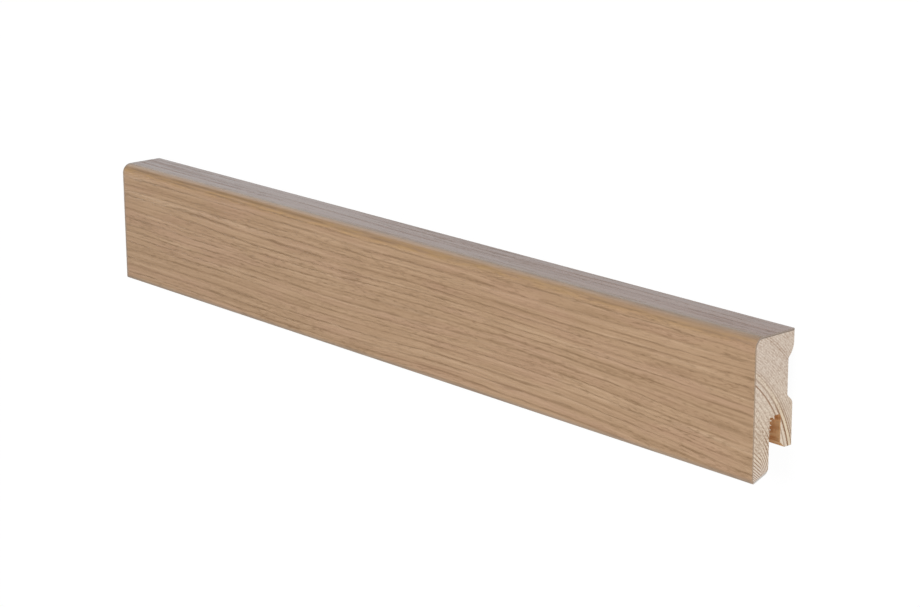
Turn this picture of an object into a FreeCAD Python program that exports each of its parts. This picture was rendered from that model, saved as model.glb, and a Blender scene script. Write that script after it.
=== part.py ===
"""Veneered skirting board: a cut length of softwood moulding with an oak veneer wrapped over its face.

The board lies on its back. X runs along its length, Y from the foot to the top edge, and Z out of the
wall to the face, so the wall side is the plane Z = 0 and the oak face looks up. The origin is in the
wall plane, midway along the board and midway between its foot and its top edge.

Sections are drawn by two distances: wall, how far a corner is from the wall plane, and height, how far
it is above the floor once the board is fitted. The veneered blank is milled last, so one outline cuts
the softwood and the veneer alike.
"""

import FreeCAD
import Part

import math
import os

# Board, in millimetres
LENGTH = 420.0
HEIGHT = 58.0
THICKNESS = 22.0
VENEER = 0.7

# Face and foot, which the veneer wraps
TOP_ROUND_RADIUS = 4.5
FOOT_EDGE_RADIUS = 1.0
FOOT_BEVEL_ANGLE = 20.5
HEEL_RADIUS = 3.0

# Clip groove, open towards the floor, and the shorter leg behind it
FRONT_LEG_THICKNESS = 9.2
GROOVE_WIDTH = 6.3
GROOVE_TOP_HEIGHT = 25.2
GROOVE_CORNER_RADIUS = 1.2
REAR_LEG_CLEARANCE = 11.2
REAR_LEG_LEAD_IN_WIDTH = 2.6
REAR_LEG_LEAD_IN_HEIGHT = 2.5

# Hollow in the back, between the two lands that meet the wall
HOLLOW_DEPTH = 3.0
HOLLOW_FLANK_ANGLE = 48.0
HOLLOW_CORNER_RADIUS = 1.2
LOWER_LAND_TOP_HEIGHT = 29.1
LOWER_LAND_RADIUS = 3.0
UPPER_LAND_WIDTH = 8.5

# Nearer than this, two points of an outline are one point
SAME_POINT = 1e-6


def section_wire(corners):
    """Closed wire across the board through corners of (wall, height, radius), with a round on each."""
    spots = [FreeCAD.Vector(0, height, wall) for wall, height, _ in corners]
    ends = []
    for index, (_, _, radius) in enumerate(corners):
        here = spots[index]
        before = (spots[index - 1] - here).normalize()
        after = (spots[(index + 1) % len(spots)] - here).normalize()
        half_angle = before.getAngle(after) / 2
        setback = radius / math.tan(half_angle)
        centre_way = (before + after).normalize()
        middle = here + centre_way * (radius / math.sin(half_angle) - radius)
        ends.append((here + before * setback, middle, here + after * setback))
    edges = []
    for index, (start, middle, end) in enumerate(ends):
        if corners[index][2] > 0:
            edges.append(Part.Arc(start, middle, end).toShape())
        next_start = ends[(index + 1) % len(ends)][0]
        if end.distanceToPoint(next_start) > SAME_POINT:
            edges.append(Part.LineSegment(end, next_start).toShape())
    return Part.Wire(edges)


def bar(corners, length):
    """Solid bar of that section, centred on X, with its height centred on Y."""
    face = Part.Face(section_wire(corners))
    solid = face.extrude(FreeCAD.Vector(length, 0, 0))
    solid.translate(FreeCAD.Vector(-length / 2, -HEIGHT / 2, 0))
    return solid


def foot_height(wall, inset=0.0):
    """Height of the foot's bevel at a distance from the wall, or of a surface inset square to the bevel.

    The bevel is tangent to the rounded edge below the face, whose lowest point is at height 0.
    """
    angle = math.radians(FOOT_BEVEL_ANGLE)
    below_edge_centre = FOOT_EDGE_RADIUS - (FOOT_EDGE_RADIUS - inset) / math.cos(angle)
    return below_edge_centre + (THICKNESS - FOOT_EDGE_RADIUS - wall) * math.tan(angle)


def milled_outline():
    """Corners of the finished section, from the top edge at the wall, over the face and round the back."""
    groove_front = THICKNESS - FRONT_LEG_THICKNESS
    groove_back = groove_front - GROOVE_WIDTH
    flank_angle = math.radians(HOLLOW_FLANK_ANGLE)
    flank_rise = HOLLOW_DEPTH / math.tan(flank_angle)
    flank_length = HOLLOW_DEPTH / math.sin(flank_angle)
    # The upper land rolls into the hollow: its round takes up the whole flank, but for the hollow's corner
    upper_land_radius = flank_length / math.tan(flank_angle / 2) - HOLLOW_CORNER_RADIUS
    upper_land_height = HEIGHT - UPPER_LAND_WIDTH
    face_side = [
        (0, HEIGHT, 0),
        (THICKNESS, HEIGHT, TOP_ROUND_RADIUS),
        (THICKNESS, foot_height(THICKNESS), FOOT_EDGE_RADIUS),
        (groove_front, foot_height(groove_front), HEEL_RADIUS),
    ]
    clip_groove = [
        (groove_front, GROOVE_TOP_HEIGHT, GROOVE_CORNER_RADIUS),
        (groove_back, GROOVE_TOP_HEIGHT, GROOVE_CORNER_RADIUS),
        (groove_back, REAR_LEG_CLEARANCE + REAR_LEG_LEAD_IN_HEIGHT, 0),
        (groove_back - REAR_LEG_LEAD_IN_WIDTH, REAR_LEG_CLEARANCE, 0),
        (0, REAR_LEG_CLEARANCE, 0),
    ]
    hollow_back = [
        (0, LOWER_LAND_TOP_HEIGHT, LOWER_LAND_RADIUS),
        (HOLLOW_DEPTH, LOWER_LAND_TOP_HEIGHT + flank_rise, HOLLOW_CORNER_RADIUS),
        (HOLLOW_DEPTH, upper_land_height - flank_rise, HOLLOW_CORNER_RADIUS),
        (0, upper_land_height, upper_land_radius),
    ]
    return face_side + clip_groove + hollow_back


def core_blank_outline():
    """Corners of the softwood blank before milling: one veneer inside the face, the top and the foot."""
    face = THICKNESS - VENEER
    return [
        (0, HEIGHT - VENEER, 0),
        (face, HEIGHT - VENEER, TOP_ROUND_RADIUS - VENEER),
        (face, foot_height(face, VENEER), FOOT_EDGE_RADIUS - VENEER),
        (0, foot_height(0, VENEER), 0),
    ]


def build():
    """The softwood core and the veneer on it, as named solids."""
    board = bar(milled_outline(), LENGTH)
    core_blank = bar(core_blank_outline(), LENGTH)
    return {
        "softwood_core": board.common(core_blank),
        "oak_veneer": board.cut(core_blank),
    }


def main():
    os.makedirs("parts", exist_ok=True)
    for name, shape in build().items():
        solids = shape.Solids
        if len(solids) != 1 or not shape.isValid():
            raise ValueError(f"{name} has {len(solids)} solids, valid: {shape.isValid()}")
        solids[0].exportStep(f"parts/{name}.step")
        box = solids[0].BoundBox
        volume_cm3 = solids[0].Volume / 1000
        print(f"{name}: {volume_cm3:.1f} cm3, {box.XLength:.1f} x {box.YLength:.1f} x {box.ZLength:.1f} mm")


main()
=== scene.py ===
"""Looks of a cut length of skirting board: a softwood moulding wrapped in oak veneer, lying on its back.

Sizes are in metres in the board's own frame: X along the board, Y from its foot to its top edge, Z out of
the wall to the veneered face. Sections are drawn by wall, the distance from the wall plane, and height,
the distance above the floor once the board is fitted.
"""

import math
import random

import bmesh
import bpy
from bpy.props import FloatProperty, FloatVectorProperty, IntProperty, PointerProperty
from bpy.types import Operator, Panel, PropertyGroup
from mathutils import Matrix, Vector


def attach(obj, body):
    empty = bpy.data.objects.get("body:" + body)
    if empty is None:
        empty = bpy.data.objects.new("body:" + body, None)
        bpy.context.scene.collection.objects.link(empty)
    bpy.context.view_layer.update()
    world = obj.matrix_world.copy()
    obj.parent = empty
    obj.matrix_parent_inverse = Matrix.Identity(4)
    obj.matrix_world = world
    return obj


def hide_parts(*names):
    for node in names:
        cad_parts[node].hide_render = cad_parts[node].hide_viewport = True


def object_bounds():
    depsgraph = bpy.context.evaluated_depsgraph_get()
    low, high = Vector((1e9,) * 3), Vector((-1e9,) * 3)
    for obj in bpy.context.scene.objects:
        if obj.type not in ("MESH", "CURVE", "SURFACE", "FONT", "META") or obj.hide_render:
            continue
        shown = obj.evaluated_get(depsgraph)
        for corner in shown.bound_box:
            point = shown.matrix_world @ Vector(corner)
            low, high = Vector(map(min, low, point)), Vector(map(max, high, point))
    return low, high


bl_info = {
    "name": "Skirting board length",
    "version": (1, 0, 0),
    "blender": (4, 5, 0),
    "location": "3D View > Sidebar > Skirting",
    "description": "Builds a cut length of oak-veneered softwood skirting board and its studio",
    "category": "Add Mesh",
}

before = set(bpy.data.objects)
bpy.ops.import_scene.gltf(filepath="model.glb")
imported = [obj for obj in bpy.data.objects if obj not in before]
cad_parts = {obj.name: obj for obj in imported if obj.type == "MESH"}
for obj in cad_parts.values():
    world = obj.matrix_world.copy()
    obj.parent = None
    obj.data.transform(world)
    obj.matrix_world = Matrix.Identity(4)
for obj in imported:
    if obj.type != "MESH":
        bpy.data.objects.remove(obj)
frame_low, frame_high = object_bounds()
board_size = frame_high - frame_low

MM = 0.001
BODY = "root"
CORE_NODE = "softwood_core"
VENEER_NODE = "oak_veneer"
X_AXIS = Vector((1, 0, 0))
ARC_STEP = math.radians(4)
SHARP_ANGLE = math.radians(32)
# Nearer than this, two vertices are one
SAME_POINT = 0.0005 * MM
# Radius of the outermost of the strong growth rings, in millimetres
STRONG_RING = 57.7


def from_screen(red, green, blue):
    """Linear colour of a screen colour given in steps of 0 to 255."""
    def linear(step):
        share = step / 255
        return share / 12.92 if share <= 0.04045 else ((share + 0.055) / 1.055) ** 2.4
    return linear(red), linear(green), linear(blue)


def length_property(name, description, default):
    """A length in metres."""
    return FloatProperty(
        name=name, description=description, default=default, min=0.0, precision=5, unit="LENGTH"
    )


def colour_property(name, description, red, green, blue):
    """A colour whose default is written as a screen colour."""
    return FloatVectorProperty(
        name=name,
        description=description,
        default=from_screen(red, green, blue),
        min=0.0,
        max=1.0,
        size=3,
        subtype="COLOR",
    )


def angle_property(name, description, default_degrees):
    """An angle whose default is written in degrees."""
    return FloatProperty(
        name=name, description=description, default=math.radians(default_degrees), unit="ROTATION"
    )


def amount_property(name, description, default):
    """A plain number, such as a strength or a power."""
    return FloatProperty(name=name, description=description, default=default)


class SkirtingSection(PropertyGroup):
    """Sizes of the board's section."""

    length: length_property("Length", "Length of the cut board", board_size.x)
    height: length_property("Height", "From the foot to the top edge", board_size.y)
    thickness: length_property("Thickness", "From the wall to the face", board_size.z)
    veneer: length_property("Veneer", "Thickness of the oak veneer", 0.7 * MM)
    top_round: length_property("Top round", "Radius between the face and the top edge", 4.5 * MM)
    foot_edge: length_property("Foot edge", "Radius of the edge below the face", 1.0 * MM)
    foot_bevel: angle_property("Foot bevel", "Rise of the underside towards the wall", 20.5)
    heel: length_property("Heel", "Radius where the underside meets the groove", 3.0 * MM)
    front_leg: length_property("Front leg", "Thickness of the leg in front of the groove", 9.2 * MM)
    groove_width: length_property("Groove width", "Width of the clip groove", 6.3 * MM)
    groove_top: length_property("Groove top", "Height of the groove's ceiling above the floor", 25.2 * MM)
    groove_corner: length_property("Groove corner", "Radius at the groove's ceiling", 1.2 * MM)
    rear_leg_foot: length_property("Rear leg foot", "Height of the rear leg above the floor", 11.2 * MM)
    lead_in_width: length_property("Lead-in width", "Width of the chamfer on the rear leg", 2.6 * MM)
    lead_in_height: length_property("Lead-in height", "Height of the chamfer on the rear leg", 2.5 * MM)
    hollow_depth: length_property("Hollow depth", "Depth of the hollow in the back", 3.0 * MM)
    hollow_flank: angle_property("Hollow flank", "Slope of the hollow's flanks", 48.0)
    hollow_corner: length_property("Hollow corner", "Radius at the foot of the hollow's flanks", 1.2 * MM)
    lower_land_top: length_property("Lower land top", "Height of the lower land's upper edge", 29.1 * MM)
    lower_land_round: length_property("Lower land round", "Radius at the lower land's upper edge", 3.0 * MM)
    upper_land_width: length_property("Upper land", "Width of the land under the top edge", 8.5 * MM)


class SkirtingFinish(PropertyGroup):
    """Colours of the two woods, some of them painted light and shade."""

    oak: colour_property("Oak", "Veneer between its streaks", 180, 148, 117)
    oak_light: colour_property("Light oak", "Palest fibres of the veneer", 195, 164, 133)
    oak_dark: colour_property("Dark oak", "Rows and dashes of open pores", 133, 102, 70)
    # The warm band along the round is partly painted shade and partly the veneer's golden tone
    oak_golden_and_shade: colour_property("Golden oak", "Warm band along the top round", 192, 155, 108)
    # Painted highlight along the brim of the top edge
    oak_brim_highlight: colour_property("Pale oak", "Painted highlight along the brim of the top edge", 208, 175, 143)
    # On the top edge this mauve grey is painted sheen and shade; in some streaks it is the veneer's own
    # tint
    oak_mauve_and_sheen: colour_property("Mauve oak", "Cool tint of the top edge and of some streaks", 184, 141, 125)
    oak_dusk: colour_property("Dusky oak", "Dark streaks of the top edge", 150, 113, 103)
    # Painted shade along the foot's edge, also used for a dark line on the far end's arris
    oak_dark_edge: colour_property("Dark edge", "Painted shade on the foot's edge, and a dark line on an end", 142, 131, 121)
    edge_top: colour_property("Edge at the top", "Sawn edge of the veneer over the top", 168, 155, 146)
    edge_face: colour_property("Edge at the face", "Sawn edge of the veneer on the face", 178, 156, 135)
    edge_foot: colour_property("Edge at the foot", "Sawn edge of the veneer under the foot", 214, 210, 204)
    glue: colour_property("Glue line", "Glue between the veneer and the softwood", 124, 110, 98)
    pine: colour_property("Earlywood", "Sawn softwood between its rings", 232, 218, 203)
    pine_ring: colour_property("Latewood", "Dark growth rings of the sawn softwood", 146, 108, 78)
    pine_bright: colour_property("Bright wood", "Pale yellow wood between strong rings", 238, 221, 194)
    pine_planed: colour_property("Planed softwood", "Softwood planed along its length", 206, 182, 150)
    pine_planed_ring: colour_property("Planed ring", "Growth rings on the planed softwood", 176, 140, 100)
    groove: colour_property("Groove", "Softwood inside the clip groove", 236, 190, 138)
    # Also painted shade deeper in the groove, away from the sawn ends
    groove_dark_and_shade: colour_property("Dark groove", "Scorched streaks and painted shade inside the clip groove", 196, 136, 84)


class SkirtingStudio(PropertyGroup):
    """The camera, given for the board as it stands on a floor, and the lights."""

    azimuth: angle_property("Azimuth", "Direction of the camera round the standing board", 48.665)
    elevation: angle_property("Elevation", "Height of the camera above the standing board", 15.398)
    roll: angle_property("Roll", "Turn of the camera about its own axis", -0.325)
    distance: length_property("Distance", "From the camera to the point that it aims at", 1072.3 * MM)
    aim_along: length_property("Aim along", "Point aimed at, along from the middle", 42.39 * MM)
    aim_height: length_property("Aim height", "Point aimed at, above the foot", 37.69 * MM)
    lens: amount_property("Lens", "Focal length in millimetres", 98.731)
    sky: amount_property("Sky", "Strength of the even light all round", 0.28)
    key: amount_property("Key", "Power of the soft lamp over the face, in watts", 14.2)
    fill: amount_property("Fill", "Power of the lamp beyond the near end, in watts", 20.5)
    far_fill: amount_property("Far fill", "Power of the lamp beyond the far end, in watts", 5.0)
    floor_glow: amount_property("Floor glow", "Share of white that the floor shows by itself", 0.96)
    floor_bounce: amount_property("Floor bounce", "Light that the floor gives back to the board", 0.14)


class SkirtingSettings(PropertyGroup):
    """Everything that the panel offers."""

    section: PointerProperty(type=SkirtingSection)
    finish: PointerProperty(type=SkirtingFinish)
    studio: PointerProperty(type=SkirtingStudio)
    seed: IntProperty(name="Seed", description="Seed of the torn fibres", default=11)


class Outline:
    """A pen that draws the board's section into a bmesh, in the plane of the far end."""

    def __init__(self, mesh, section):
        self.mesh = mesh
        self.section = section
        self.x = -section.length / 2
        self.vertices = []

    def point(self, wall, height):
        """Place in the board's frame of a spot of the section."""
        return Vector((self.x, height - self.section.height / 2, wall))

    def line_to(self, place):
        """Adds a vertex, with an edge from the one before it."""
        vertex = self.mesh.verts.new(place)
        if self.vertices:
            self.mesh.edges.new((self.vertices[-1], vertex))
        self.vertices.append(vertex)

    def round_from(self, start, centre, turn):
        """Draws an arc about a centre, from a place and through a signed turn."""
        self.line_to(start)
        self.mesh.verts.index_update()
        steps = max(2, math.ceil(abs(turn) / ARC_STEP))
        known = set(self.mesh.verts)
        bmesh.ops.spin(
            self.mesh, geom=[self.vertices[-1]], cent=centre, axis=X_AXIS, angle=turn, steps=steps,
            use_duplicate=False,
        )
        new = [vertex for vertex in self.mesh.verts if vertex not in known]
        new.sort(key=lambda vertex: (vertex.co - start).length)
        self.vertices.extend(new)

    def corner(self, before, here, after, radius, first=0.0, last=1.0):
        """Draws one corner with a round of that radius, or only the share of it from first to last."""
        if radius == 0:
            self.line_to(here)
            return
        towards_before = (before - here).normalized()
        towards_after = (after - here).normalized()
        half_angle = towards_before.angle(towards_after) / 2
        centre = here + (towards_before + towards_after).normalized() * (radius / math.sin(half_angle))
        start = here + towards_before * (radius / math.tan(half_angle))
        turning = (start - centre).cross(here - centre).dot(X_AXIS)
        turn = math.copysign(math.pi - 2 * half_angle, turning)
        rotation = Matrix.Rotation(turn * first, 3, X_AXIS)
        self.round_from(centre + rotation @ (start - centre), centre, turn * (last - first))

    def run(self, before, corners, after):
        """Draws corners of (wall, height, radius, and maybe first and last) between two undrawn places."""
        places = [self.point(corner[0], corner[1]) for corner in corners]
        places = [before] + places + [after]
        for index, (_, _, *rounding) in enumerate(corners):
            self.corner(places[index], places[index + 1], places[index + 2], *rounding)


def bevel_height(section, wall, inset=0.0):
    """Height of the bevelled underside at a distance from the wall, or of a surface inset square to it."""
    below_edge_centre = section.foot_edge - (section.foot_edge - inset) / math.cos(section.foot_bevel)
    from_edge_centre = section.thickness - section.foot_edge - wall
    return below_edge_centre + from_edge_centre * math.tan(section.foot_bevel)


def groove_walls(section):
    """Distances from the wall of the groove's back and front walls."""
    front = section.thickness - section.front_leg
    return front - section.groove_width, front


def heel_share(section):
    """Share of the heel's round that the veneer takes up before the softwood begins."""
    whole_turn = math.pi / 2 - section.foot_bevel
    return math.acos((section.heel - section.veneer) / section.heel) / whole_turn


def veneer_outer_corners(section):
    """The veneer's outside, from the wall over the top edge and the face to the heel."""
    _, groove_front = groove_walls(section)
    top = section.height
    face = section.thickness
    # It stops a little short of where the veneer's two sides meet, so that they share no vertex
    heel_end = heel_share(section) * 0.97
    return [
        (0, top, 0),
        (face, top, section.top_round),
        (face, bevel_height(section, face), section.foot_edge),
        (groove_front, bevel_height(section, groove_front), section.heel, 0.0, heel_end),
    ]


def veneer_inner_corners(section):
    """The veneer's inside, in the same order."""
    top = section.height - section.veneer
    face = section.thickness - section.veneer
    return [
        (0, top, 0),
        (face, top, section.top_round - section.veneer),
        (face, bevel_height(section, face, section.veneer), section.foot_edge - section.veneer),
        heel_meeting(section) + (0,),
    ]


def heel_meeting(section):
    """Where the veneer's inside runs out on the heel's round, as (wall, height)."""
    _, groove_front = groove_walls(section)
    centre_wall = groove_front + section.heel
    slope = section.foot_bevel
    centre_height = bevel_height(section, centre_wall) + section.heel / math.cos(slope)
    swing = math.acos((section.heel - section.veneer) / section.heel)
    # The round is met below its centre, turned from the bevel's own direction towards the groove
    direction = slope + swing
    wall = centre_wall - section.heel * math.sin(direction)
    height = centre_height - section.heel * math.cos(direction)
    return wall, height


def back_corners(section):
    """The softwood's corners from the groove's ceiling, round the rear leg and up the back."""
    groove_back, groove_front = groove_walls(section)
    rise = section.hollow_depth / math.tan(section.hollow_flank)
    flank = section.hollow_depth / math.sin(section.hollow_flank)
    # The upper flank is one round, from the corner's round to the land
    upper_round = flank / math.tan(section.hollow_flank / 2) - section.hollow_corner
    upper_land = section.height - section.upper_land_width
    return [
        (groove_front, section.groove_top, section.groove_corner),
        (groove_back, section.groove_top, section.groove_corner),
        (groove_back, section.rear_leg_foot + section.lead_in_height, 0),
        (groove_back - section.lead_in_width, section.rear_leg_foot, 0),
        (0, section.rear_leg_foot, 0),
        (0, section.lower_land_top, section.lower_land_round),
        (section.hollow_depth, section.lower_land_top + rise, section.hollow_corner),
        (section.hollow_depth, upper_land - rise, section.hollow_corner),
        (0, upper_land, upper_round),
    ]


def draw_core(mesh, section):
    """Draws the softwood's outline: inside the veneer, over the heel, round the groove and up the back."""
    outline = Outline(mesh, section)
    _, groove_front = groove_walls(section)
    wall_foot = outline.point(0, 0)
    wall_top = outline.point(0, section.height)
    bevel_start = outline.point(section.thickness, bevel_height(section, section.thickness))
    heel = outline.point(groove_front, bevel_height(section, groove_front))
    ceiling = outline.point(groove_front, section.groove_top)
    *face_side, _ = veneer_inner_corners(section)
    outline.run(wall_foot, face_side, outline.point(*heel_meeting(section)))
    outline.corner(bevel_start, heel, ceiling, section.heel, heel_share(section))
    outline.run(heel, back_corners(section), wall_top)
    mesh.edges.new((outline.vertices[-1], outline.vertices[0]))


def mark_core_faces(mesh, section):
    """Gives the softwood's faces their material: 0 planed, 1 sawn, 2 inside the groove."""
    groove_back, groove_front = groove_walls(section)
    slack = 0.1 * MM
    for face in mesh.faces:
        centre = face.calc_center_median()
        height = centre.y + section.height / 2
        in_width = groove_back - section.lead_in_width < centre.z < groove_front + slack
        in_height = section.rear_leg_foot + slack < height < section.groove_top + slack
        if abs(face.normal.x) > 0.5:
            face.material_index = 1
        elif in_width and in_height:
            face.material_index = 2


def finished_piece(name, mesh, materials, node=None):
    """Makes a piece of a bmesh, shades it, and ties it to the frame."""
    bmesh.ops.remove_doubles(mesh, verts=mesh.verts, dist=SAME_POINT)
    bmesh.ops.recalc_face_normals(mesh, faces=mesh.faces)
    data = bpy.data.meshes.new(name)
    mesh.to_mesh(data)
    mesh.free()
    data.shade_smooth()
    data.set_sharp_from_angle(angle=SHARP_ANGLE)
    for material in materials:
        data.materials.append(material)
    piece = bpy.data.objects.new(name, data)
    bpy.context.scene.collection.objects.link(piece)
    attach(piece, BODY)
    if node:
        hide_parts(node)
    return piece


def pull_along(mesh, faces, length):
    """Pulls the section's faces along the board into a solid."""
    pulled = bmesh.ops.extrude_face_region(mesh, geom=faces)
    vertices = [item for item in pulled["geom"] if isinstance(item, bmesh.types.BMVert)]
    bmesh.ops.translate(mesh, verts=vertices, vec=(length, 0, 0))


class Shading:
    """Builds one material's nodes. Every helper takes and gives sockets or plain numbers."""

    def __init__(self, name):
        self.material = bpy.data.materials.new(name)
        self.material.use_nodes = True
        self.tree = self.material.node_tree
        self.tree.nodes.clear()

    def node(self, kind, **settings):
        """A new node with its settings."""
        made = self.tree.nodes.new(kind)
        for key, value in settings.items():
            setattr(made, key, value)
        return made

    def feed(self, socket, value):
        """Links a socket to another's output, or sets its value."""
        if isinstance(value, bpy.types.NodeSocket):
            self.tree.links.new(value, socket)
        elif socket.type == "RGBA" and len(value) == 3:
            socket.default_value = (*value, 1.0)
        else:
            socket.default_value = value

    def math(self, operation, *values):
        """The result of a Math node."""
        made = self.node("ShaderNodeMath", operation=operation)
        for socket, value in zip(made.inputs, values):
            self.feed(socket, value)
        return made.outputs[0]

    def times(self, first, second):
        """One value multiplied by another."""
        return self.math("MULTIPLY", first, second)

    def plus(self, first, second):
        """The sum of two values."""
        return self.math("ADD", first, second)

    def minus(self, first, second):
        """One value less another."""
        return self.math("SUBTRACT", first, second)

    def larger(self, first, second):
        """The larger of two values."""
        return self.math("MAXIMUM", first, second)

    def smaller(self, first, second):
        """The smaller of two values."""
        return self.math("MINIMUM", first, second)

    def scaled(self, value, factor, offset):
        """A value multiplied by a factor, plus an offset."""
        return self.math("MULTIPLY_ADD", value, factor, offset)

    def span(self, value, low, high, to_low=0.0, to_high=1.0, curve="LINEAR"):
        """A value mapped from one range to another, held at its ends."""
        made = self.node("ShaderNodeMapRange", interpolation_type=curve, clamp=True)
        names = ("Value", "From Min", "From Max", "To Min", "To Max")
        for name, number in zip(names, (value, low, high, to_low, to_high)):
            self.feed(made.inputs[name], number)
        return made.outputs["Result"]

    def band(self, value, low, full_from, full_to, high):
        """1 between two inner numbers of a value, fading smoothly to 0 at the outer two."""
        rise = self.span(value, low, full_from, 0.0, 1.0, "SMOOTHSTEP")
        fall = self.span(value, full_to, high, 1.0, 0.0, "SMOOTHSTEP")
        return self.times(rise, fall)

    def vector(self, x, y, z=0.0):
        """A vector of three values."""
        made = self.node("ShaderNodeCombineXYZ")
        for socket, value in zip(made.inputs, (x, y, z)):
            self.feed(socket, value)
        return made.outputs[0]

    def noise(self, vector, detail, scale=1.0, distortion=0.0):
        """Soft noise from 0 to 1."""
        made = self.node("ShaderNodeTexNoise", noise_dimensions="3D")
        self.feed(made.inputs["Vector"], vector)
        names = ("Scale", "Detail", "Distortion")
        for name, number in zip(names, (scale, detail, distortion)):
            self.feed(made.inputs[name], number)
        return made.outputs["Fac"]

    def stretched_noise(self, *stretches, **settings):
        """Soft noise over two or three values, each given with the scale that stretches it."""
        place = self.vector(*(self.times(value, scale) for value, scale in stretches))
        return self.noise(place, **settings)

    def blend(self, share, below, above):
        """Two colours mixed by a share."""
        made = self.node("ShaderNodeMix", data_type="RGBA", clamp_factor=True)
        self.feed(made.inputs[0], share)
        self.feed(made.inputs[6], below)
        self.feed(made.inputs[7], above)
        return made.outputs[2]

    def steps(self, value, stops):
        """A number that follows a value through (position, number) stops."""
        made = self.node("ShaderNodeValToRGB")
        elements = made.color_ramp.elements
        made.color_ramp.interpolation = "EASE"
        while len(elements) < len(stops):
            elements.new(0.5)
        for element, (position, number) in zip(elements, stops):
            element.position = position
            element.color = (number, number, number, 1)
        self.feed(made.inputs[0], value)
        return made.outputs["Color"]

    def place(self):
        """Position on the piece in millimetres: along the board, above the foot and out of the wall."""
        made = self.node("ShaderNodeTexCoord")
        parts = self.node("ShaderNodeSeparateXYZ")
        self.feed(parts.inputs[0], made.outputs["Object"])
        along = self.times(parts.outputs["X"], 1 / MM)
        half_height = board_size.y / 2 / MM
        height = self.scaled(parts.outputs["Y"], 1 / MM, half_height)
        wall = self.times(parts.outputs["Z"], 1 / MM)
        return along, height, wall

    def attribute(self, name):
        """A number stored on the piece's vertices."""
        made = self.node("ShaderNodeAttribute", attribute_type="GEOMETRY", attribute_name=name)
        return made.outputs["Fac"]

    def surface(self, colour, roughness, relief, relief_depth, specular=0.5, ior=1.5):
        """Ends the material in a Principled shader with a bump in metres."""
        shader = self.node("ShaderNodeBsdfPrincipled")
        self.feed(shader.inputs["Base Color"], colour)
        self.feed(shader.inputs["Roughness"], roughness)
        shader.inputs["Specular IOR Level"].default_value = specular
        shader.inputs["IOR"].default_value = ior
        bump = self.node("ShaderNodeBump")
        bump.inputs["Distance"].default_value = relief_depth
        self.feed(bump.inputs["Height"], relief)
        self.feed(shader.inputs["Normal"], bump.outputs[0])
        output = self.node("ShaderNodeOutputMaterial")
        self.feed(output.inputs[0], shader.outputs[0])
        return self.material


class Landmarks:
    """Places on the board, in millimetres, that the colours of the wood follow."""

    def __init__(self, section):
        groove_back, groove_front = groove_walls(section)
        self.near_end = section.length / 2 / MM
        self.far_end = -self.near_end
        self.thickness = section.thickness / MM
        self.under_top = (section.height - section.veneer) / MM
        self.groove_back = groove_back / MM
        self.groove_front = groove_front / MM
        self.groove_top = section.groove_top / MM
        # Girths where the top edge's round, the face and the foot's edge begin
        self.brim = (section.thickness - section.top_round) / MM
        self.face = self.brim + section.top_round / MM * math.pi / 2
        self.foot = self.face + (section.height - section.top_round - section.foot_edge) / MM


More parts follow.
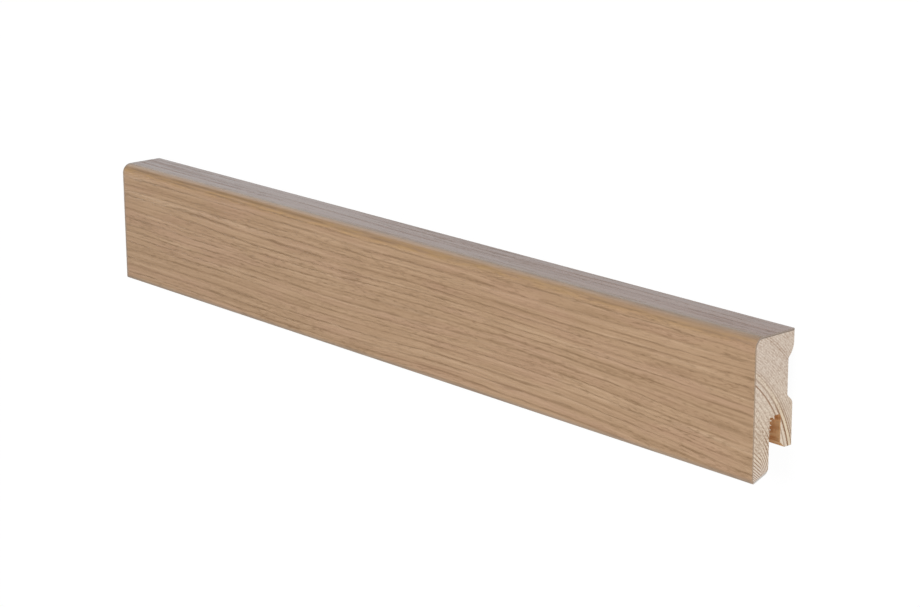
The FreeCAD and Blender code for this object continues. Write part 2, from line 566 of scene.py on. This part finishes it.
def oak_face_material(finish, marks):
    """Oak veneer under satin lacquer: wavy rows of open pores, short dashes between them, fine fibres, and
    painted sheen, highlight and shade along the top edge, the round and the foot's edge.
    """
    shade = Shading("Oak veneer face")
    along, _, _ = shade.place()
    girth = shade.times(shade.attribute("girth"), 1 / MM)

    # The grain sinks a little towards the near end, and swells most near the foot
    down = shade.larger(shade.minus(girth, marks.face + 0.4), -3.0)
    swell = shade.times(shade.math("SINE", shade.times(along, 0.0217)), 0.036)
    sag = shade.times(shade.times(along, along), -1.5e-6)
    sweep = shade.times(down, shade.plus(swell, sag))
    wander = shade.stretched_noise((along, 0.011), (girth, 0.04), detail=1.0)
    drift = shade.scaled(wander, 2.4, shade.times(along, -0.009))
    across = shade.plus(shade.plus(girth, sweep), drift)

    def streaks(along_scale, across_scale, detail, seed):
        """Noise drawn out along the grain, of its own for each seed."""
        return shade.stretched_noise(
            (along, along_scale), (across, across_scale), (seed, 1.0), detail=detail
        )

    # Rows of pores, each with its own breaks
    row_pitch = 3.3
    sway = shade.times(streaks(0.006, 0.09, 0.0, 2.3), 1.2)
    ripple = shade.times(streaks(0.08, 0.5, 1.0, 5.9), 0.35)
    count = shade.plus(shade.math("DIVIDE", across, row_pitch), shade.plus(sway, ripple))
    row = shade.math("FLOOR", count)
    part = shade.minus(count, row)
    off_row = shade.math("ABSOLUTE", shade.minus(part, 0.5))

    def along_row(scale, row_scale):
        """Noise that changes along a row and from row to row."""
        return shade.stretched_noise((along, scale), (row, row_scale), detail=1.0)

    presence = shade.span(along_row(0.009, 5.13), 0.32, 0.58, 0.45, 0.88)
    gaps = shade.span(along_row(0.08, 3.71), 0.32, 0.56, 0.45, 1.0)
    row_width = shade.span(along_row(0.03, 2.39), 0.35, 0.65, 0.12, 0.24)
    in_row = shade.span(off_row, row_width, 0.02, 0.0, 1.0, "SMOOTHSTEP")
    row_depth = shade.times(in_row, shade.times(presence, gaps))

    dashes = shade.span(streaks(0.05, 0.9, 0.0, 29.9), 0.54, 0.72)
    flecks = shade.span(streaks(0.28, 1.4, 1.0, 17.3), 0.53, 0.70)
    pores = shade.plus(shade.times(dashes, 0.4), shade.times(flecks, 0.6))
    crowding = shade.span(streaks(0.015, 0.16, 1.0, 7.7), 0.36, 0.62, 0.3, 1.0)
    pores = shade.times(pores, crowding)
    depth = shade.smaller(shade.plus(row_depth, pores), 1.0)

    fibres = streaks(0.02, 0.9, 2.0, 11.1)
    bands = streaks(0.008, 0.30, 1.0, 9.7)
    tint = streaks(0.025, 0.16, 1.0, 41.5)
    tone = shade.plus(shade.times(fibres, 0.7), shade.times(bands, 0.4))
    colour = shade.blend(shade.span(tone, 0.55, 0.77), finish.oak, finish.oak_light)
    colour = shade.blend(shade.span(tone, 0.53, 0.31, 0.0, 0.35), colour, finish.oak_dark)
    # The top edge gets the mauve grey as painted sheen and shade of the light from above; elsewhere it
    # tints a few streaks
    on_top = shade.span(girth, marks.brim - 3.5, marks.brim + 1.5, 0.85, 0.0, "SMOOTHSTEP")
    mauve_and_sheen = shade.larger(shade.span(tint, 0.48, 0.66, 0.0, 0.15), on_top)
    colour = shade.blend(mauve_and_sheen, colour, finish.oak_mauve_and_sheen)
    # The top edge has broader dark streaks, and is a little darker towards the far end
    top_streaks = shade.span(streaks(0.010, 0.42, 1.0, 13.9), 0.40, 0.62, 0.0, 0.30)
    top_dark = shade.plus(top_streaks, shade.span(along, marks.far_end, 150.0, 0.85, 0.0))
    colour = shade.blend(shade.times(top_dark, on_top), colour, finish.oak_dusk)

    # A pale band of painted highlight runs along the brim, and a warm one below it along the lower half of
    # the round
    pale = shade.band(girth, marks.brim - 0.2, marks.brim + 2.0, marks.brim + 2.3, marks.brim + 5.1)
    colour = shade.blend(shade.times(pale, 0.55), colour, finish.oak_brim_highlight)
    wavy_girth = shade.plus(girth, shade.scaled(wander, 3.0, -1.5))
    # The warm band is partly painted shade, where the round turns from the light and misses the sheen, and
    # partly the veneer's golden tone
    warm = shade.band(wavy_girth, marks.brim + 2.5, marks.brim + 4.0, marks.brim + 5.0, marks.brim + 7.5)
    patches = shade.span(streaks(0.10, 0.8, 2.0, 53.3), 0.40, 0.60, 0.15, 0.75)
    warm = shade.times(warm, patches)
    warm = shade.times(warm, shade.span(along, 20.0, 150.0, 1.0, 0.55))
    colour = shade.blend(warm, colour, finish.oak_golden_and_shade)

    def long_row(middle, slope, half_width, nowhere, full, share):
        """A dark row of its own, with its girth at the board's middle, its slope and where it fades in."""
        row_line = shade.scaled(along, slope, middle)
        off_line = shade.math("ABSOLUTE", shade.minus(wavy_girth, row_line))
        broken = shade.span(streaks(0.06, 0.25, 1.0, 71.9), 0.35, 0.55, 0.45, 1.0)
        inside = shade.times(shade.span(off_line, half_width, 0.1), broken)
        return shade.times(inside, shade.span(along, nowhere, full, 0.0, share))

    # One long row follows the round up to the middle, one the brim beyond it, and a faint one the top
    round_row = long_row(marks.brim + 4.7, 0.0067, 1.0, 60.0, -10.0, 0.85)
    brim_row = long_row(marks.brim - 0.3, 0.0085, 2.0, -900.0, 100.0, 0.55)
    top_row = long_row(marks.brim - 7.7, 0.0040, 2.4, 330.0, marks.far_end, 0.5)
    # The other rows fade on the round
    above_round = shade.span(girth, marks.brim - 0.5, marks.brim + 1.0, 0.9, 0.4)
    below_round = shade.span(girth, marks.brim + 3.3, marks.brim + 4.9)
    depth = shade.times(depth, shade.larger(above_round, below_round))
    for single_row in (round_row, brim_row, top_row):
        depth = shade.larger(depth, single_row)
    colour = shade.blend(shade.times(depth, 0.78), colour, finish.oak_dark)

    # Painted shade darkens the foot's edge where it turns under, and a dark line runs along the far end's
    # arris
    foot_low = shade.span(girth, marks.foot - 1.2, marks.foot + 0.1)
    foot_high = shade.span(girth, marks.foot + 1.7, marks.foot + 2.5, 1.0, 0.0)
    arris = shade.span(along, marks.far_end + 1.8, marks.far_end + 0.5)
    dark_edge = shade.larger(shade.times(foot_low, foot_high), arris)
    colour = shade.blend(shade.times(dark_edge, 0.5), colour, finish.oak_dark_edge)

    relief = shade.minus(shade.times(fibres, 0.5), depth)
    matt = shade.plus(shade.times(bands, 0.6), shade.times(depth, 0.35))
    roughness = shade.span(matt, 0.22, 0.58, 0.12, 0.40)
    return shade.surface(colour, roughness, relief, 0.03 * MM, ior=1.6)


def oak_edge_material(finish, marks):
    """The veneer's sawn edge, greyer than its face, with the glue line along its inner side."""
    shade = Shading("Oak veneer edge")
    along, height, wall = shade.place()
    girth = shade.times(shade.attribute("girth"), 1 / MM)
    grain = shade.stretched_noise((along, 0.5), (height, 2.5), (wall, 1.0), scale=1.4, detail=3.0)
    on_face = shade.span(girth, marks.brim + 1.5, marks.brim + 6.5)
    colour = shade.blend(on_face, finish.edge_top, finish.edge_face)
    under_foot = shade.span(girth, marks.foot + 0.5, marks.foot + 2.1)
    colour = shade.blend(under_foot, colour, finish.edge_foot)
    colour = shade.blend(shade.span(grain, 0.35, 0.65, 0.0, 0.3), colour, finish.oak_dark)
    # The glue line shows most under the top edge
    glue_share = shade.scaled(on_face, -0.5, 0.8)
    glue = shade.times(shade.span(shade.attribute("ply"), 0.6, 0.95), glue_share)
    colour = shade.blend(glue, colour, finish.glue)
    return shade.surface(colour, 0.7, grain, 0.05 * MM, 0.3)


def ring_distance(shade, marks, along, height, wall):
    """Distance from the tree's heart in millimetres, warped so that the rings lean as on the sawn end.

    Gives also how far the place is from the heart sideways and upwards.
    """
    heart_depth = -34.2
    heart_height = -1.6
    depth = shade.minus(marks.thickness, wall)
    sideways = shade.minus(depth, heart_depth)
    upwards = shade.minus(height, heart_height)
    square = shade.plus(shade.times(sideways, sideways), shade.times(upwards, upwards))
    # The rings of the front leg lean less than circles would
    into_leg = shade.larger(shade.minus(marks.groove_top + 1.8, height), 0.0)
    leg_share = shade.span(depth, 5.0, 14.0, 1.7, 0.0)
    lean = shade.times(shade.times(into_leg, into_leg), leg_share)
    radius = shade.math("SQRT", shade.larger(shade.minus(square, lean), 1.0))
    # The rings wander along the board, and are as photographed at the near end
    wander = shade.stretched_noise((along, 0.007), (height, 0.03), detail=1.0)
    reach = shade.span(along, marks.near_end - 1.0, marks.near_end - 100.0, 0.0, 7.0, "SMOOTHSTEP")
    shift = shade.times(shade.minus(wander, 0.5), reach)
    return shade.plus(radius, shift), sideways, upwards


def ring_tone(shade, radius, least_strength):
    """Latewood from 0 to 1. Rings are wide apart inside the strong ones, and close together beyond."""
    wide_pitch = 1.9
    widening = 0.007
    narrow_pitch = 0.967
    past_strong = shade.minus(radius, STRONG_RING)
    inside = shade.smaller(past_strong, 0.0)
    wide = shade.math("DIVIDE", inside, shade.scaled(inside, -widening, wide_pitch))
    narrow = shade.math("DIVIDE", shade.larger(past_strong, 0.0), narrow_pitch)
    count = shade.plus(shade.plus(wide, narrow), 0.5)
    part = shade.minus(shade.math("FRACT", count), 0.5)
    pitch = shade.span(radius, STRONG_RING - 0.1, STRONG_RING + 0.1, wide_pitch, narrow_pitch)
    # The second of the strong rings is the widest
    off_widest = shade.math("ABSOLUTE", shade.minus(radius, STRONG_RING - wide_pitch))
    thinness = shade.span(off_widest, 0.6, 1.0, 0.75, 1.0)
    past_line = shade.times(shade.times(part, pitch), thinness)
    # A ring darkens slowly outwards and ends sharply
    darkening = shade.span(past_line, -0.52, -0.10)
    ending = shade.span(past_line, 0.14, 0.34, 1.0, 0.0)
    # Strength of the rings by their share of the largest radius
    largest_radius = 82.0
    strength = shade.steps(
        shade.math("DIVIDE", radius, largest_radius),
        [
            (0.24, 0.8), (0.38, 0.8), (0.44, 0.4), (0.635, 0.25), (0.652, 0.9), (0.69, 1.0),
            (0.705, 0.85), (0.735, 0.34), (0.85, 0.32), (0.872, 1.0), (0.895, 0.35),
        ],
    )
    return shade.times(shade.times(darkening, ending), shade.larger(strength, least_strength))


def pine_end_material(finish, marks):
    """Sawn end grain: growth rings, fine rays across them and the fuzz left by the saw."""
    shade = Shading("Softwood end grain")
    along, height, wall = shade.place()
    radius, sideways, upwards = ring_distance(shade, marks, along, height, wall)
    fuzz = shade.stretched_noise((along, 0.3), (height, 1.0), (wall, 1.0), scale=1.3, detail=2.0)
    ragged = shade.plus(radius, shade.scaled(fuzz, 0.6, -0.3))

    # In the front leg the rings show most at the foot and beside the groove
    past_groove = shade.span(wall, marks.groove_front - 0.8, marks.groove_front)
    below_top = shade.span(height, marks.groove_top + 1.8, marks.groove_top - 4.2)
    front_leg = shade.times(past_groove, below_top)
    near_wall = shade.span(wall, marks.groove_front + 4.7, marks.groove_front + 1.7)
    near_groove = shade.times(near_wall, shade.span(height, marks.groove_top - 1.2, marks.groove_top - 8.2))
    near_foot = shade.span(height, 13.0, 9.0, 0.40, 1.0)
    late = ring_tone(shade, ragged, shade.times(shade.larger(near_groove, near_foot), front_leg))

    round_heart = shade.times(shade.math("ARCTAN2", upwards, sideways), 55.0)
    rays = shade.stretched_noise((round_heart, 1.5), (radius, 0.14), detail=1.0)
    scratches = shade.stretched_noise((round_heart, 0.45), (radius, 1.7), (3.0, 1.0), detail=1.0)

    # Pale wood lies between the two outer strong rings, and in the front leg
    pale = shade.band(radius, STRONG_RING - 2.1, STRONG_RING - 1.3, STRONG_RING - 0.5, STRONG_RING + 0.9)
    pale = shade.times(pale, shade.span(height, marks.groove_top - 1.2, marks.groove_top + 10.8, 1.0, 0.4))
    leg_pale = shade.times(shade.span(height, 45.0, 18.0), shade.span(height, 3.0, 9.0, 0.0, 0.45))
    colour = shade.blend(shade.larger(pale, leg_pale), finish.pine, finish.pine_bright)

    # The innermost of the strong rings fades in the rear leg, the others fade above it
    outer_share = shade.span(height, marks.groove_top - 1.2, marks.groove_top + 8.8, 1.0, 0.5)
    inner_share = shade.span(wall, marks.groove_back - 0.5, marks.groove_front - 0.8, 0.65, 0.95)
    past_inner = shade.span(radius, STRONG_RING - 3.2, STRONG_RING - 2.7)
    share_gap = shade.minus(outer_share, inner_share)
    late = shade.times(late, shade.scaled(past_inner, share_gap, inner_share))
    colour = shade.blend(late, colour, finish.pine_ring)

    # The rear leg and the front leg's foot are cleaner, the rest of the front leg is rougher
    in_rear_leg = shade.span(wall, marks.groove_back + 0.3, marks.groove_back - 0.5)
    rear_leg = shade.times(in_rear_leg, shade.span(height, marks.groove_top + 3.8, marks.groove_top - 2.2))
    rougher = shade.times(front_leg, shade.span(height, 9.0, 14.0, -0.30, 0.45))
    grime_share = shade.plus(shade.scaled(rear_leg, -0.40, 0.88), rougher)
    grime = shade.plus(shade.span(rays, 0.40, 0.75, 0.0, 0.10), shade.span(fuzz, 0.40, 0.66, 0.0, 0.30))
    grime = shade.plus(grime, shade.span(scratches, 0.44, 0.66, 0.0, 0.26))
    colour = shade.blend(shade.times(grime, grime_share), colour, finish.pine_ring)

    # The glue shows as a dark line under the top edge's veneer
    glue = shade.span(height, marks.under_top - 0.35, marks.under_top - 0.05, 0.0, 0.8)
    colour = shade.blend(glue, colour, finish.glue)
    relief = shade.plus(shade.times(late, 0.5), shade.times(fuzz, 1.2))
    return shade.surface(colour, 0.85, relief, 0.10 * MM, 0.25)


def pine_planed_material(finish, marks):
    """Softwood planed along its length: the same rings drawn out into streaks, with fine fibres."""
    shade = Shading("Softwood planed")
    along, height, wall = shade.place()
    radius, _, _ = ring_distance(shade, marks, along, height, wall)
    late = ring_tone(shade, radius, 0.0)
    fibres = shade.stretched_noise((along, 0.06), (height, 2.4), (wall, 2.4), detail=3.0)
    colour = shade.blend(shade.times(late, 0.8), finish.pine_planed, finish.pine_planed_ring)
    colour = shade.blend(shade.span(fibres, 0.45, 0.75, 0.0, 0.35), colour, finish.pine_planed_ring)
    relief = shade.plus(shade.times(late, 0.4), fibres)
    return shade.surface(colour, 0.7, relief, 0.06 * MM, 0.35)


def pine_groove_material(finish, marks):
    """The groove's walls, browned by the cutter, streaked along the board, with painted light at the sawn
    ends and painted shade deeper in.
    """
    shade = Shading("Softwood in the groove")
    along, height, wall = shade.place()
    streaks = shade.stretched_noise(
        (along, 0.05), (height, 0.55), (wall, 0.55), detail=3.0, distortion=0.4
    )
    chatter = shade.stretched_noise((along, 0.9), (height, 0.3), (wall, 1.0), detail=2.0)
    tone = shade.scaled(chatter, 0.4, streaks)
    # Painted light and shade: it is lighter at the sawn ends and darker deeper in the groove
    from_end = shade.minus(marks.near_end, shade.math("ABSOLUTE", along))
    tone = shade.plus(tone, shade.span(from_end, 0.5, 7.0, -0.12, 0.16))
    colour = shade.blend(shade.span(tone, 0.60, 0.92), finish.groove, finish.groove_dark_and_shade)
    return shade.surface(colour, 0.75, tone, 0.12 * MM, 0.3)


def backdrop_material(glow, bounce):
    """White floor: an even white to the eye and in reflections, plain paper to all other light."""
    shade = Shading("White floor")
    paper = shade.node("ShaderNodeBsdfDiffuse")
    paper.inputs["Color"].default_value = (bounce, bounce, bounce, 1)
    # Lit paper on top of the glow brings the floor up to white, and lets the board's shadow show
    shadow = shade.node("ShaderNodeBsdfDiffuse")
    shadow_share = 1.015 - glow
    shadow.inputs["Color"].default_value = (shadow_share, shadow_share, shadow_share, 1)
    white = shade.node("ShaderNodeEmission")
    white.inputs["Strength"].default_value = glow
    seen = shade.node("ShaderNodeAddShader")
    shade.feed(seen.inputs[0], shadow.outputs[0])
    shade.feed(seen.inputs[1], white.outputs[0])
    path = shade.node("ShaderNodeLightPath")
    looked_at = shade.larger(path.outputs["Is Camera Ray"], path.outputs["Is Glossy Ray"])
    looked_at = shade.larger(looked_at, path.outputs["Is Transmission Ray"])
    mixed = shade.node("ShaderNodeMixShader")
    shade.feed(mixed.inputs[0], looked_at)
    shade.feed(mixed.inputs[1], paper.outputs[0])
    shade.feed(mixed.inputs[2], seen.outputs[0])
    output = shade.node("ShaderNodeOutputMaterial")
    shade.feed(output.inputs[0], mixed.outputs[0])
    return shade.material


def store_girth(outer, inner, girth, ply):
    """Stores on the section's vertices how far round the veneer they are, and 0 outside to 1 inside."""
    run = 0.0
    for index, vertex in enumerate(outer):
        if index:
            run += (vertex.co - outer[index - 1].co).length
        vertex[girth] = run
    for vertex in inner:
        nearest = min(outer, key=lambda other: (other.co - vertex.co).length)
        vertex[girth] = nearest[girth]
        vertex[ply] = 1.0


class SKIRTING_OT_veneer(Operator):
    """Wrap the oak veneer over the top edge, the face and the underside"""

    bl_idname = "skirting.veneer"
    bl_label = "Build the veneer"
    bl_options = {"REGISTER", "UNDO"}

    def execute(self, context):
        settings = context.scene.skirting
        section = settings.section
        mesh = bmesh.new()
        girth = mesh.verts.layers.float.new("girth")
        ply = mesh.verts.layers.float.new("ply")
        outer = Outline(mesh, section)
        _, groove_front = groove_walls(section)
        wall_foot = outer.point(0, 0)
        ceiling = outer.point(groove_front, section.groove_top)
        outer.run(wall_foot, veneer_outer_corners(section), ceiling)
        inner = Outline(mesh, section)
        inner.run(wall_foot, veneer_inner_corners(section), ceiling)
        store_girth(outer.vertices, inner.vertices, girth, ply)
        bmesh.ops.bridge_loops(mesh, edges=mesh.edges[:])
        pull_along(mesh, mesh.faces[:], section.length)
        bmesh.ops.recalc_face_normals(mesh, faces=mesh.faces)
        for face in mesh.faces:
            is_sawn = abs(face.normal.x) > 0.5
            meets_wall = max(vertex.co.z for vertex in face.verts) < SAME_POINT
            face.material_index = 1 if is_sawn or meets_wall else 0
        marks = Landmarks(section)
        materials = [oak_face_material(settings.finish, marks), oak_edge_material(settings.finish, marks)]
        finished_piece("veneer_sheet", mesh, materials, VENEER_NODE)
        return {"FINISHED"}


class SKIRTING_OT_core(Operator):
    """Mould the softwood core with its groove, legs and hollow back"""

    bl_idname = "skirting.core"
    bl_label = "Build the core"
    bl_options = {"REGISTER", "UNDO"}

    def execute(self, context):
        settings = context.scene.skirting
        section = settings.section
        mesh = bmesh.new()
        draw_core(mesh, section)
        bmesh.ops.remove_doubles(mesh, verts=mesh.verts, dist=SAME_POINT)
        bmesh.ops.contextual_create(mesh, geom=mesh.edges[:])
        pull_along(mesh, mesh.faces[:], section.length)
        bmesh.ops.recalc_face_normals(mesh, faces=mesh.faces)
        mark_core_faces(mesh, section)
        marks = Landmarks(section)
        materials = [
            pine_planed_material(settings.finish, marks),
            pine_end_material(settings.finish, marks),
            pine_groove_material(settings.finish, marks),
        ]
        finished_piece("moulded_core", mesh, materials, CORE_NODE)
        return {"FINISHED"}


class SKIRTING_OT_torn_fibres(Operator):
    """Leave the fibres that the saw tore at the groove's front corner on the near end"""

    bl_idname = "skirting.torn_fibres"
    bl_label = "Add the torn fibres"
    bl_options = {"REGISTER", "UNDO"}

    def execute(self, context):
        settings = context.scene.skirting
        section = settings.section
        dice = random.Random(settings.seed)
        _, groove_front = groove_walls(section)
        mesh = bmesh.new()
        tip_radius = 0.07 * MM
        shake = 0.05 * MM
        # A sliver's middle lies behind the sawn end by this share of its half width
        behind_end = 0.3
        # Each sliver, in millimetres and degrees: its root's distance from the groove's front wall and
        # height above the foot, its reach, its lean and half its width at the root
        slivers = (
            (1.9, 25.9, 2.6, -68.0, 0.75),
            (0.6, 25.4, 1.5, -40.0, 0.60),
            (-0.4, 23.9, 1.9, -20.0, 0.55),
            (-0.4, 22.0, 1.6, -16.0, 0.50),
            (-0.4, 20.2, 1.5, -20.0, 0.48),
            (-0.4, 18.6, 1.0, -10.0, 0.40),
        )
        for offset, height, reach, lean, half_width in slivers:
            root = Vector((
                section.length / 2, height * MM - section.height / 2, groove_front - offset * MM,
            ))
            made = bmesh.ops.create_cone(
                mesh,
                cap_ends=True,
                segments=7,
                radius1=half_width * MM,
                radius2=tip_radius,
                depth=reach * MM,
            )
            sliver = made["verts"]
            offset_from_root = (-behind_end * half_width * MM, 0, reach * MM / 2)
            bmesh.ops.translate(mesh, verts=sliver, vec=offset_from_root)
            turn = Matrix.Rotation(math.radians(180 + lean), 3, "X")
            bmesh.ops.rotate(mesh, verts=sliver, cent=(0, 0, 0), matrix=turn)
            # Its sides are a little uneven, and none stands past the sawn end
            for vertex in sliver:
                vertex.co += Vector([dice.uniform(-shake, shake) for _ in range(3)])
                vertex.co.x = min(vertex.co.x, 0.0)
            bmesh.ops.translate(mesh, verts=sliver, vec=root)
        materials = [pine_end_material(settings.finish, Landmarks(section))]
        finished_piece("torn_fibres", mesh, materials)
        return {"FINISHED"}


class SKIRTING_OT_studio(Operator):
    """Set up the white floor, the soft lamps and the camera"""

    bl_idname = "skirting.studio"
    bl_label = "Set up the studio"
    bl_options = {"REGISTER", "UNDO"}

    def execute(self, context):
        studio = context.scene.skirting.studio
        self.lay_floor(context, studio)
        self.light_board(context, studio)
        self.aim_camera(context, studio)
        return {"FINISHED"}

    def lay_floor(self, context, studio):
        """A flat white floor under the board."""
        half_width = 6.0
        mesh = bmesh.new()
        bmesh.ops.create_grid(mesh, x_segments=1, y_segments=1, size=half_width)
        data = bpy.data.meshes.new("floor")
        mesh.to_mesh(data)
        mesh.free()
        data.materials.append(backdrop_material(studio.floor_glow, studio.floor_bounce))
        floor = bpy.data.objects.new("floor", data)
        context.scene.collection.objects.link(floor)

    def light_board(self, context, studio):
        """An even sky and three soft lamps, all aimed at the board's middle."""
        world = bpy.data.worlds.new("studio")
        world.use_nodes = True
        background = world.node_tree.nodes["Background"]
        background.inputs["Color"].default_value = (1, 1, 1, 1)
        background.inputs["Strength"].default_value = studio.sky
        context.scene.world = world
        # Each lamp: its name, its power in watts, its width and its place
        lamps = (
            ("key", studio.key, 0.8, Vector((0.0, 0.45, 1.45))),
            ("fill", studio.fill, 0.6, Vector((1.7, -0.46, 0.54))),
            ("far_fill", studio.far_fill, 0.25, Vector((-1.5, -0.05, 0.16))),
        )
        for name, power, size, place in lamps:
            data = bpy.data.lights.new(name, "AREA")
            data.energy = power
            data.size = size
            lamp = bpy.data.objects.new(name, data)
            lamp.location = place
            lamp.rotation_mode = "QUATERNION"
            lamp.rotation_quaternion = (-place).to_track_quat("-Z", "Y")
            context.scene.collection.objects.link(lamp)

    def aim_camera(self, context, studio):
        """The camera, placed round the standing board and then laid back with it."""
        section = context.scene.skirting.section
        back = Vector((
            math.sin(studio.azimuth) * math.cos(studio.elevation),
            -math.cos(studio.azimuth) * math.cos(studio.elevation),
            math.sin(studio.elevation),
        ))
        data = bpy.data.cameras.new("camera")
        data.sensor_fit = "HORIZONTAL"
        data.sensor_width = 36.0
        data.lens = studio.lens
        data.clip_start = 0.05
        camera = bpy.data.objects.new("camera", data)
        aim = Vector((studio.aim_along, 0.0, studio.aim_height))
        upright = (-back).to_track_quat("-Z", "Y").to_matrix().to_4x4()
        rolled = Matrix.Rotation(studio.roll, 4, back) @ upright
        standing = Matrix.Translation(aim + back * studio.distance) @ rolled
        to_face = Matrix.Translation((0, -section.height / 2, section.thickness))
        lay_back = Matrix.Rotation(-math.pi / 2, 4, "X")
        camera.matrix_world = to_face @ lay_back @ standing
        context.scene.collection.objects.link(camera)
        context.scene.camera = camera
        context.scene.view_settings.view_transform = "Standard"


class SKIRTING_PT_panel(Panel):
    """Lists the pieces in the sidebar"""

    bl_idname = "SKIRTING_PT_panel"
    bl_label = "Skirting board"
    bl_space_type = "VIEW_3D"
    bl_region_type = "UI"
    bl_category = "Skirting"

    def draw(self, context):
        settings = context.scene.skirting
        layout = self.layout
        for heading, group in (
            ("Section", settings.section), ("Finish", settings.finish), ("Studio", settings.studio),
        ):
            column = layout.column(heading=heading)
            for name in group.__annotations__:
                column.prop(group, name)
        layout.prop(settings, "seed")
        for operator in PIECE_OPERATORS:
            layout.operator(operator.bl_idname)


PIECE_OPERATORS = (SKIRTING_OT_veneer, SKIRTING_OT_core, SKIRTING_OT_torn_fibres, SKIRTING_OT_studio)
PROPERTY_GROUPS = (SkirtingSection, SkirtingFinish, SkirtingStudio, SkirtingSettings)
CLASSES = PROPERTY_GROUPS + PIECE_OPERATORS + (SKIRTING_PT_panel,)


def register():
    for cls in CLASSES:
        bpy.utils.register_class(cls)
    bpy.types.Scene.skirting = PointerProperty(type=SkirtingSettings)


def unregister():
    del bpy.types.Scene.skirting
    for cls in reversed(CLASSES):
        bpy.utils.unregister_class(cls)


def main():
    register()
    bpy.ops.skirting.veneer()
    bpy.ops.skirting.core()
    bpy.ops.skirting.torn_fibres()
    bpy.ops.skirting.studio()


if __name__ == "__main__":
    main()
